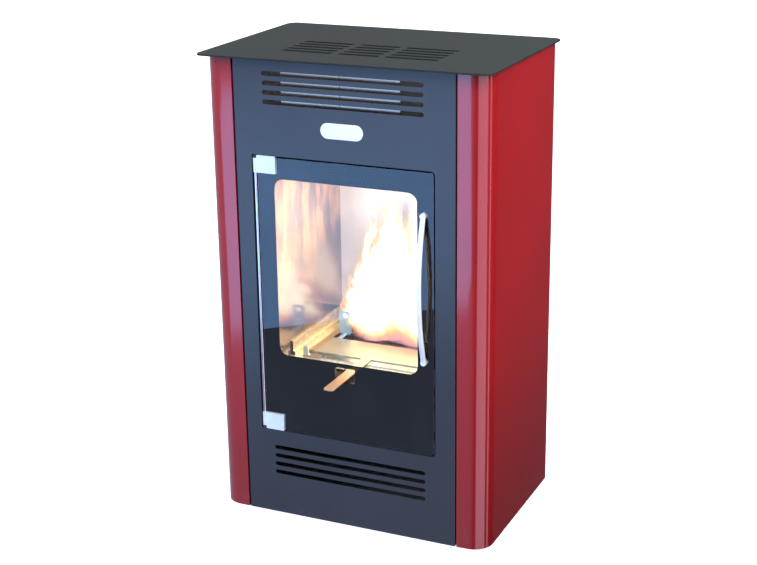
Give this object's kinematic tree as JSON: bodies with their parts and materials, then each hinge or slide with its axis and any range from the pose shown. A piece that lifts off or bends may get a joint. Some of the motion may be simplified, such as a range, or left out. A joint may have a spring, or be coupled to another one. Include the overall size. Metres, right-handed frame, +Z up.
{
  "type": "bioethanol stove",
  "caption": "Free-standing bioethanol stove: red rounded side shells, grey louvred front panel, slotted top plate, hinged glass door, stainless firebox and slide-regulated burner.",
  "frame": {"origin": "centre of the overall box at floor level, under the feet", "axes": "+Z up, +X to the right of someone facing the door, +Y from the door towards the back"},
  "size_m": [0.542, 0.403, 0.86],
  "materials": {
    "shell_red": "high gloss red lacquer on folded sheet",
    "panel_grey": "satin slate grey lacquer",
    "top_grey": "fine matt textured grey powder coat",
    "badge_metal": "brushed plate, bare",
    "frame_steel": "bare sheet steel, dull",
    "liner_steel": "polished stainless sheet",
    "hood_steel": "polished stainless sheet",
    "burner_steel": "brushed stainless sheet, heat tinted",
    "bright_steel": "polished stainless",
    "door_black": "matt black heat-proof paint",
    "glass_clear": "clear heat-proof glass",
    "glass_enamel": "black enamel fired on the back of the glass",
    "fibre_white": "ceramic fibre wool",
    "foot_grey": "grey polymer pad",
    "magnet_black": "dark ferrite block"
  },
  "bodies": {
    "stove": {"back_panel": "top_grey", "back_screws": "bright_steel", "badge": "badge_metal", "badge_rivets": "bright_steel", "base_tray": "frame_steel", "bearer_front": "frame_steel", "bearer_rear": "frame_steel", "burner_fibre": "fibre_white", "burner_latches": "burner_steel", "burner_lid": "burner_steel", "burner_surround": "burner_steel", "burner_tank": "burner_steel", "catch_magnet": "magnet_black", "door_frame": "door_black", "feet": "foot_grey", "firebox_floor": "liner_steel", "firebox_roof": "liner_steel", "firebox_wall_back": "liner_steel", "firebox_wall_left": "liner_steel", "firebox_wall_right": "liner_steel", "frame_upright_left": "frame_steel", "frame_upright_rear_left": "frame_steel", "frame_upright_rear_right": "frame_steel", "frame_upright_right": "frame_steel", "front_panel": "panel_grey", "heat_shield_left": "frame_steel", "heat_shield_right": "frame_steel", "hinge_lug_lower": "door_black", "hinge_lug_upper": "door_black", "hood_front_left": "hood_steel", "hood_front_right": "hood_steel", "side_shell_left": "shell_red", "side_shell_right": "shell_red", "slide_guide_left": "burner_steel", "slide_guide_right": "burner_steel", "top_frame": "frame_steel", "top_plate": "top_grey"},
    "door": {"door_glass": "glass_clear", "glass_border": "glass_enamel", "hinge_clip_upper": "bright_steel", "hinge_clip_lower": "bright_steel", "hinge_rod": "bright_steel", "door_handle": "bright_steel", "handle_washers": "bright_steel", "handle_screws": "bright_steel", "catch_plate": "door_black"},
    "regulator": {"regulator_slide": "burner_steel", "regulator_tab": "burner_steel"}
  },
  "joints": [
    {"name": "door_hinge", "type": "hinge", "parent": "stove", "child": "door", "pos_m": [-0.16872, -0.1439, 0], "axis": [0, 0, -1], "range_deg": [0, 100]},
    {"name": "regulator_push", "type": "slide", "parent": "stove", "child": "regulator", "axis": [0, 1, 0], "range_m": [0, 0.044]}
  ]
}
